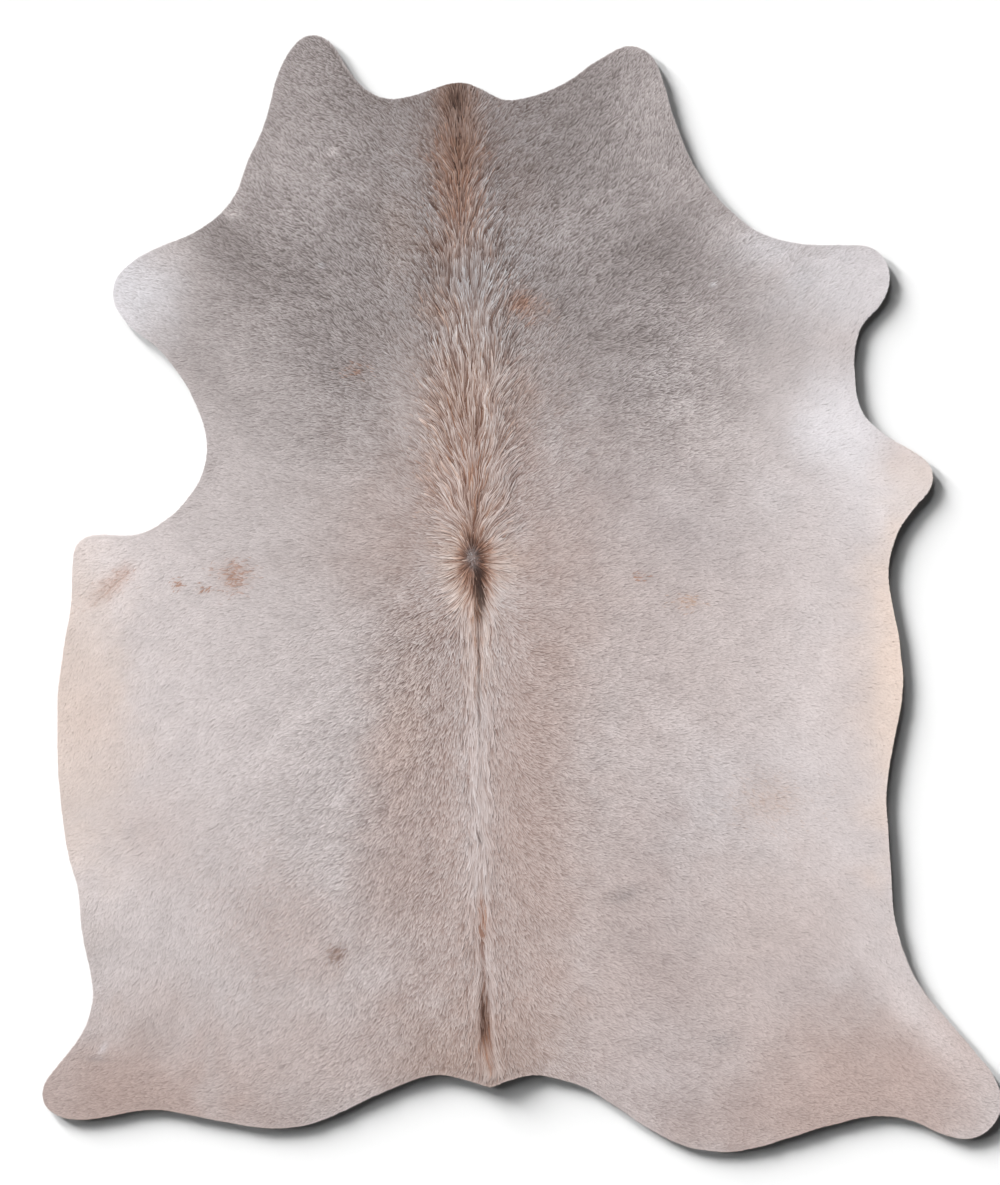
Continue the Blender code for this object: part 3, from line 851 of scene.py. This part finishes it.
def keep_map(piece, name, places):
    """Stores a UV place for each corner of each face, from one for each point."""
    mesh = piece.data
    corners = np.zeros(len(mesh.loops), np.int32)
    mesh.loops.foreach_get("vertex_index", corners)
    layer = mesh.uv_layers.new(name=name)
    layer.uv.foreach_set("vector", np.asarray(places, np.float32)[corners].ravel())


def lay_locks(name, template, material, seed, lines, widths, tints, tone, apart):
    """One piece of many locks. lines has the stations of each lock's middle line, from root to
    tip, and tints the colour at each station, or one for the whole lock."""
    corners, faces = (np.array(part) for part in template)
    station, side, low = corners.T
    count = len(lines)
    rng = np.random.default_rng(seed)
    run = unit(lines[:, -1, :2] - lines[:, 0, :2])
    loose = np.minimum(apart, LOCK_LOOSEST)
    tilt = rng.uniform(-LOCK_TILT, LOCK_TILT, count) * loose
    across = np.stack((-run[:, 1], run[:, 0], tilt), 1)
    reach = side * widths[:, None] / 2
    points = lines[:, station] + reach[:, :, None] * across[:, None]
    points[:, :, 2] -= low * (LOCK_DROOP * loose)[:, None]
    grown = station / station.max()
    # Painted shade: each lock darker at its root and along its sides, where its neighbours would
    # shade it
    shade = LOCK_ROOT_PAINTED_SHADE * (1 - grown) + LOCK_SIDE_PAINTED_SHADE * np.abs(side)
    shade = (1 - apart[:, None] * shade).clip(0.25, 1)
    tone = (tone * (1 + LOCK_LIGHTER * apart))[:, None] * shade
    tints = tints[:, station] if tints.ndim == 3 else tints[:, None]
    all_faces = faces[None] + len(corners) * np.arange(count)[:, None, None]
    piece = new_piece(name, points.reshape(-1, 3), all_faces.reshape(-1, 3), [material])
    keep_colour(piece, tints, tone, shade_powers(lines[:, 0])[:, None])
    own = rng.uniform(0, 40, count)[:, None] + 0.5 * side
    keep_map(piece, "lock", np.stack((own, np.tile(grown, (count, 1))), -1).reshape(-1, 2))
    flat = points.reshape(-1, 3)[:, :2]
    keep_map(piece, "OFBake", (flat - flat.min(0)) / np.ptp(flat, axis=0))
    return piece


def skin_top(points):
    """How high the down under the coat is at these points."""
    hide = survey()
    inner = hide.at(hide.top, points) - bpy.context.scene.cowhide_coat.depth
    rim = smooth((hide.at(hide.inset, points) - CUT_INSET) / RIM)
    return bpy.context.scene.cowhide_skin.leather * (1 - rim) + inner * rim


_survey = []


def survey():
    """The survey of the hide, made at its first use."""
    if not _survey:
        _survey.append(Survey())
    return _survey[0]


def length_of(name, default, description):
    """A length that a user may change, in metres."""
    return bpy.props.FloatProperty(
        name=name, description=description, default=default, unit="LENGTH"
    )


def strength_of(name, default, description):
    """The strength of a light."""
    return bpy.props.FloatProperty(name=name, description=description, default=default)


def colour_of(name, hex_colour, description):
    """A colour that a user may change."""
    return bpy.props.FloatVectorProperty(
        name=name, description=description, default=linear(hex_colour), subtype="COLOR",
        min=0.0, max=1.0,
    )


class COWHIDE_PG_skin(bpy.types.PropertyGroup):
    leather: length_of("Leather", 0.0024, "Thickness of the tanned skin")
    step: length_of("Step", 0.012, "Size of the skin's faces")
    # The flesh side's two colours: its nap's hollows darker as painted shade
    nap_hollow: colour_of("Hollows of the nap", "#B9A48C", "Darker places of the flesh side")
    nap_tip: colour_of("Tips of the nap", "#D8C7B0", "Lighter places of the flesh side")


class COWHIDE_PG_tints(bpy.types.PropertyGroup):
    """What the eye sees in the hair from a step away"""

    dove: colour_of("Dove", "#C5BCBB", "Ground of the coat")
    smoke: colour_of("Smoke", "#8E8583", "Neck and shoulders")
    rose: colour_of("Rose", "#AE9890", "Along the back, and the hind legs")
    fawn: colour_of("Fawn", "#9C8376", "Tail head")
    pearl: colour_of("Pearl", "#DCD3D2", "Sides")
    cream: colour_of("Cream", "#E2CFC2", "Belly")
    milk: colour_of("Milk", "#E6E4E8", "Forelegs and elbows")
    tan: colour_of("Tan", "#B6957F", "Peach patches")
    sand: colour_of("Sand", "#D0AE9B", "Long hair of the withers")
    hazel: colour_of("Hazel", "#7F6253", "Stripe of the neck")
    rust: colour_of("Rust", "#A5785F", "Spots, and the ring round the whorl")
    bark: colour_of("Bark", "#6B4636", "Brown hair of the whorl")
    umber: colour_of("Umber", "#2E1C16", "Darkest hair of the back")
    ash: colour_of("Ash", "#8F939C", "Cool grey of the flanks")
    silver: colour_of("Silver", "#A8A3A4", "Long hair of the shoulders")
    slate: colour_of("Slate", "#87807F", "Grey spots")


class COWHIDE_PG_coat(bpy.types.PropertyGroup):
    depth: length_of("Depth", 0.0022, "Thickness of the lying hair")
    length: length_of("Length", 0.015, "Length of a lock on the barrel")
    width: length_of("Width", 0.0038, "Width of a lock")
    spacing: length_of("Spacing", 0.0032, "Distance from lock to lock")


class COWHIDE_PG_crest(bpy.types.PropertyGroup):
    length: length_of("Length", 0.066, "Full length of the long hair along the back")
    width: length_of("Width", 0.0027, "Width of a lock")
    spacing: length_of("Spacing", 0.0040, "Distance from lock to lock")


class COWHIDE_PG_stage(bpy.types.PropertyGroup):
    floor: colour_of("Floor", "#CCCCCC", "Colour of the floor")
    key: strength_of("Key", 2.25, "Strength of the light from the upper left")
    overhead: strength_of("Overhead", 1.93, "Strength of the wide soft light from above")
    low: strength_of("Low lights", 5.3, "Light that the floor gets from its low lights")
    sky: strength_of("Fill", 0.03, "Strength of the light from all round")


class COWHIDE_OT_skin(bpy.types.Operator):
    """The tanned skin as one thin sheet: flat flesh side, cut edge, and down under the coat"""

    bl_idname = "cowhide.skin"
    bl_label = "Tanned skin"

    def execute(self, context):
        hide = survey()
        sizes = context.scene.cowhide_skin
        loop = closed_curve(hide.edge, EDGE_STEP)
        sides = inward(loop)
        count = len(loop)
        points = []
        for further, share in CUT_EDGE:
            height = np.full(count, share * sizes.leather)
            points.append(np.column_stack((loop + (CUT_INSET + further) * sides, height)))
        here = np.arange(count)
        after = (here + 1) % count
        faces = []
        for low in range(0, (len(CUT_EDGE) - 1) * count, count):
            high = low + count
            faces.append(np.stack((low + here, high + here, high + after), 1))
            faces.append(np.stack((low + here, high + after, low + after), 1))
        wall = sum(len(part) for part in faces)

        inner = scattered(sizes.step, 51)
        inner = inner[hide.at(hide.inset, inner) > CUT_INSET + TOP_CLEAR]
        found, triangles = self.triangles(points[-1][:, :2], inner)
        start = len(CUT_EDGE) * count
        faces.append(self.numbered(triangles, count, start - count, start))
        points.append(np.column_stack((found, skin_top(found))))
        start += len(found)

        under = scattered(UNDER_STEP, 52)
        under = under[hide.at(hide.inset, under) > CUT_INSET + UNDER_CLEAR]
        found, triangles = self.triangles(points[0][:, :2], under)
        faces.append(self.numbered(triangles[:, ::-1], count, 0, start))
        points.append(np.column_stack((found, np.zeros(len(found)))))

        points, faces = np.concatenate(points), np.concatenate(faces)
        skin = new_piece("skin", points, faces, [skin_material(), flesh_material()])
        split = np.zeros(len(faces), np.int32)
        split[:wall] = 1
        split[-len(triangles):] = 1
        skin.data.polygons.foreach_set("material_index", split)
        # Painted shade: the down between the locks is darker where they stand apart
        shade = (1 - SKIN_PAINTED_SHADE * mane(points[:, :2])).clip(0.3, 1)
        tints = tints_at(points[:, :2], np.full(len(points), 0.5))
        keep_colour(skin, tints, shade, shade_powers(points))
        skin.data.set_sharp_from_angle(angle=math.radians(40))
        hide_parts("hide")
        return {"FINISHED"}

    def triangles(self, ring, inner):
        """The inner points, and the triangles that fill the ring with them. The ring's points
        count first."""
        count = len(ring)
        border = [(i, (i + 1) % count) for i in range(count)]
        places = [Vector(p) for p in np.concatenate((ring, inner))]
        found, _, faces, *_ = geometry.delaunay_2d_cdt(places, border, [], 1, 1e-7)
        return np.array(found)[count:], np.array(faces)

    def numbered(self, triangles, count, ring_start, inner_start):
        """The triangles with the numbers that their points have in the skin."""
        inside = triangles - count + inner_start
        return np.where(triangles < count, triangles + ring_start, inside)


class COWHIDE_OT_coat(bpy.types.Operator):
    """The short coat, in strips from the left side to the right"""

    bl_idname = "cowhide.coat"
    bl_label = "Short coat"

    def execute(self, context):
        hide = survey()
        sizes = context.scene.cowhide_coat
        roots = scattered(sizes.spacing, 61)
        roots = roots[hide.at(hide.inset, roots) > CUT_INSET + 0.001]
        rng = np.random.default_rng(62)
        count = len(roots)
        inset = hide.at(hide.inset, roots)
        apart = mane(roots)
        # Shorter within 100 mm of the edge, and longer within 90 mm of the back line
        length = sizes.length * rng.uniform(0.75, 1.25, count)
        near = np.exp(-((from_back(roots) / 0.09) ** 2))
        length *= 0.72 + 0.28 * smooth(inset / 0.10) + 0.25 * near
        length *= whorl_growth(roots)
        # Where the locks hardly stand apart they are wider, and merge
        width = sizes.width * rng.uniform(0.7, 1.3, count) * (1.4 - 0.4 * np.minimum(apart, 1))
        wander = drift(roots, WANDER) + rng.normal(0, 9, count)
        heading = turned(comb(roots), np.radians(wander))
        over = hide.at(hide.inset, roots + heading * length[:, None])
        room = (inset - TIP_INSET) / np.maximum(inset - over, 1e-6)
        length *= np.where(over < TIP_INSET, room, 1.0)
        tips = roots + heading * length[:, None]
        # Each lock is widest a little nearer to its root, and stands up more or less by chance
        mids = roots + 0.45 * (tips - roots)
        streak = hide.at(hide.fine, roots)
        ripple = hide.at(hide.ripple, tips)
        high = rng.uniform(-1.0, 1.0, count)
        stir = 0.16 * np.minimum(apart, 1.6) * (0.2 * streak + 0.4 * ripple + high)
        lift = sizes.depth * np.clip(0.85 + stir, 0.4, 1.35)
        heights = (
            skin_top(roots) - ROOT_SINK, skin_top(mids) + 0.62 * lift, skin_top(tips) + lift
        )
        lines = raised((roots, mids, tips), heights)
        long = hide.at(hide.long, roots)
        # The lock's height goes into its tone as painted shade: the lower locks darker
        tone = mixed(COAT_TONE, (streak, long, ripple, high, rng.standard_normal(count)))
        tone = 1 + COAT_CONTRAST * apart * mostly_dark(tone)
        tints = tints_at(roots + 0.6 * (tips - roots), rng.uniform(0, 1, count))
        material = hair_material("short cow hair", 0.96)
        left = -np.inf
        for row, (name, right) in enumerate(STRIPS):
            held = (roots[:, 0] >= left) & (roots[:, 0] < right)
            left = right
            locks = (part[held] for part in (lines, width, tints, tone, apart))
            lay_locks(name, SHORT_LOCK, material, 70 + row, *locks)
        return {"FINISHED"}


class COWHIDE_OT_crest(bpy.types.Operator):
    """The long hair along the back and round the whorl"""

    bl_idname = "cowhide.crest"
    bl_label = "Long hair of the back"

    def execute(self, context):
        hide = survey()
        sizes = context.scene.cowhide_crest
        depth = context.scene.cowhide_coat.depth
        roots = scattered(sizes.spacing, 81)
        rng = np.random.default_rng(82)
        # Away from the back line the locks are fewer, and shorter
        near = self.nearness(roots)
        chosen = rng.uniform(0, 1, len(roots)) < 1.5 * near
        held = chosen & (hide.at(hide.inset, roots) > CUT_INSET)
        roots, near = roots[held], near[held]
        count = len(roots)
        length = sizes.length * along_back(SHARE, roots[:, 1]) * rng.uniform(0.7, 1.2, count)
        length *= (0.55 + 0.45 * near) * whorl_growth(roots)
        width = sizes.width * rng.uniform(0.7, 1.3, count)
        wander = np.radians(rng.normal(0, 4.5, count))
        stations = [roots]
        for _ in CREST_HEIGHTS:
            heading = turned(waves(stations[-1]), wander)
            run = length / len(CREST_HEIGHTS)
            stations.append(stations[-1] + heading * run[:, None])
        strand = hide.at(hide.strand, stations[2])
        high = (0.4 * strand + 0.65 * rng.uniform(-1.0, 1.0, count)).clip(-1, 1)
        lift = depth * (1.12 + 0.43 * high)
        heights = [skin_top(roots) - ROOT_SINK]
        for place, share in zip(stations[1:], CREST_HEIGHTS):
            heights.append(skin_top(place) + share * lift)
        lines = raised(stations, heights)
        chance = rng.uniform(0, 1, count)
        tints = np.stack([tints_at(place, chance) for place in stations], 1)
        kept = hide.at(hide.inset, stations[-1]) > TIP_INSET
        parts = (part[kept] for part in (lines, width, roots, tints, high, strand))
        lines, width, roots, tints, high, strand = parts
        apart = mane(roots)
        # The lock's height goes into its tone as painted shade: the lower locks darker
        tone = mixed(CREST_TONE, (strand, high, rng.standard_normal(len(roots)))) + CREST_LIGHTER
        tone = np.maximum(0.4, 1 + CREST_CONTRAST * apart * mostly_dark(tone))
        material = hair_material("long back hair", 0.92)
        lay_locks("crest", LONG_LOCK, material, 84, lines, width, tints, tone, apart)
        return {"FINISHED"}

    def nearness(self, points):
        """From 0 to 1, how near each point is to the back line for the long hair's reach there."""
        reach = along_back(REACH, points[:, 1]) * MM
        return np.exp(-((from_back(points) / reach) ** 2))


class COWHIDE_OT_fringe(bpy.types.Operator):
    """The hair that lies out over the cut edge"""

    bl_idname = "cowhide.fringe"
    bl_label = "Hair over the edge"

    def execute(self, context):
        hide = survey()
        leather = context.scene.cowhide_skin.leather
        rng = np.random.default_rng(91)
        loop = closed_curve(hide.edge, EDGE_SPACING)
        out = -inward(loop)
        count = len(loop)
        lines = []
        for inset, top in EDGE_ROWS:
            start = loop - out * (inset + rng.uniform(-0.8, 0.8, (count, 1)) * MM)
            # Each lock leans out over the edge and along the coat's lie, and its tip droops
            heading = unit(out + 0.8 * comb(start))
            outward = (heading * out).sum(1)
            reach = (inset + rng.uniform(-1.2, 0.2, count) * MM) / np.maximum(outward, 0.45)
            tip = start + heading * reach[:, None]
            root_z = skin_top(start) - ROOT_SINK
            middle_z = leather + 0.35 * (top - 2.0) * MM + rng.uniform(0, 0.5, count) * MM
            tip_z = top * MM - 0.5 * MM * rng.uniform(0.2, 1.6, count)
            heights = (root_z, np.maximum(middle_z, root_z + 0.4 * MM), tip_z)
            lines.append(raised((start, start + 0.5 * (tip - start), tip), heights))
        lines = np.concatenate(lines)
        roots = lines[:, 0, :2]
        count = len(roots)
        width = EDGE_WIDTH * rng.uniform(0.7, 1.3, count)
        apart = mane(roots)
        tone = 0.98 + EDGE_CONTRAST * apart * rng.standard_normal(count).clip(-2, 2)
        tints = tints_at(roots, rng.uniform(0, 1, count))
        material = hair_material("edge hair", 0.95)
        lay_locks("edge_hair", MIDDLE_LOCK, material, 92, lines, width, tints, tone, apart)

        return {"FINISHED"}


class COWHIDE_OT_stage(bpy.types.Operator):
    """A plain white floor, a soft key from the upper left with light from all round, and the
    camera above"""

    bl_idname = "cowhide.stage"
    bl_label = "Stage"

    def execute(self, context):
        sizes = context.scene.cowhide_stage
        bpy.ops.object.select_all(action="DESELECT")
        bpy.ops.mesh.primitive_plane_add(size=FLOOR_SIZE)
        floor = context.active_object
        floor.name = "floor"
        # Matt paper: no gloss, so the lights leave no spot on it
        material, *_ = new_material(
            "matt white floor", Base_Color=(*sizes.floor, 1), Roughness=0.9,
            Specular_IOR_Level=0.0,
        )
        floor.data.materials.append(material)
        floor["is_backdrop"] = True

        # The floor has a fan of low lights of its own, for the photo's long soft shadow. The
        # rug's lights leave the floor alone.
        lights = [
            ("key", sizes.key, *KEY_LIGHT, "EXCLUDE"),
            ("overhead", sizes.overhead, *OVERHEAD_LIGHT, "EXCLUDE"),
        ]
        for turn, height, spread, share in LOW_FAN:
            heading = math.radians(turn + FAN_HEADING)
            climb = math.radians(height)
            aim = (math.cos(heading), math.sin(heading), -math.tan(climb))
            power = sizes.low * share / math.sin(climb)
            lights.append((f"low light {turn}", power, aim, spread, "INCLUDE"))
        for name, power, aim, spread, lit in lights:
            sun = bpy.data.lights.new(name, "SUN")
            sun.energy = power
            sun.angle = math.radians(spread)
            lamp = bpy.data.objects.new(name, sun)
            lamp.rotation_euler = Vector(aim).to_track_quat("-Z", "Y").to_euler()
            context.scene.collection.objects.link(lamp)
            linked = bpy.data.collections.new(name)
            linked.objects.link(floor)
            linked.collection_objects[0].light_linking.link_state = lit
            lamp.light_linking.receiver_collection = linked

        world = bpy.data.worlds.new("studio")
        world.use_nodes = True
        tree = world.node_tree
        background = tree.nodes["Background"]
        background.inputs["Color"].default_value = (1, 1, 1, 1)
        # White at the horizon, as seen behind the rug from the side, and dim overhead
        direction = add_node(tree, "TexCoord")
        height = add_node(tree, "SeparateXYZ", {0: direction.outputs["Generated"]})
        strength = add_node(
            tree, "MapRange",
            {
                "Value": height.outputs["Z"], "From Min": 0.08, "From Max": 0.28,
                "To Min": 1.0, "To Max": sizes.sky,
            },
            interpolation_type="SMOOTHSTEP",
        )
        tree.links.new(strength.outputs["Result"], background.inputs["Strength"])
        context.scene.world = world

        lens = bpy.data.cameras.new("camera")
        lens.sensor_width = SENSOR
        lens.lens = SENSOR * CAMERA_PLACE[2] / (PICTURE_ROWS * PIXEL)
        camera = bpy.data.objects.new("camera", lens)
        camera.location = CAMERA_PLACE
        context.scene.collection.objects.link(camera)
        context.scene.camera = camera
        context.scene.view_settings.view_transform = "Standard"
        return {"FINISHED"}


class COWHIDE_PT_panel(bpy.types.Panel):
    """Lists the steps that make the rug, and its sizes and colours"""

    bl_label = "Cowhide Rug"
    bl_idname = "COWHIDE_PT_panel"
    bl_space_type = "VIEW_3D"
    bl_region_type = "UI"
    bl_category = "Cowhide"

    def draw(self, context):
        column = self.layout.column()
        for step in STEPS:
            column.operator(step.bl_idname)
        for name, group in GROUPS.items():
            column.label(text=name.replace("_", " ").capitalize())
            for field in group.__annotations__:
                column.prop(getattr(context.scene, name), field)


STEPS = (
    COWHIDE_OT_skin,
    COWHIDE_OT_coat,
    COWHIDE_OT_crest,
    COWHIDE_OT_fringe,
    COWHIDE_OT_stage,
)
GROUPS = {
    "cowhide_skin": COWHIDE_PG_skin,
    "cowhide_tints": COWHIDE_PG_tints,
    "cowhide_coat": COWHIDE_PG_coat,
    "cowhide_crest": COWHIDE_PG_crest,
    "cowhide_stage": COWHIDE_PG_stage,
}


def register():
    for name, group in GROUPS.items():
        bpy.utils.register_class(group)
        setattr(bpy.types.Scene, name, bpy.props.PointerProperty(type=group))
    for step in (*STEPS, COWHIDE_PT_panel):
        bpy.utils.register_class(step)


def unregister():
    for step in reversed((*STEPS, COWHIDE_PT_panel)):
        bpy.utils.unregister_class(step)
    for name, group in GROUPS.items():
        delattr(bpy.types.Scene, name)
        bpy.utils.unregister_class(group)


def corners():
    return [list(corner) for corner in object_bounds()]


def main():
    register()
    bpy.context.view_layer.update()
    for step in ("skin", "coat", "crest", "fringe", "stage"):
        getattr(bpy.ops.cowhide, step)()


if __name__ == "__main__":
    main()
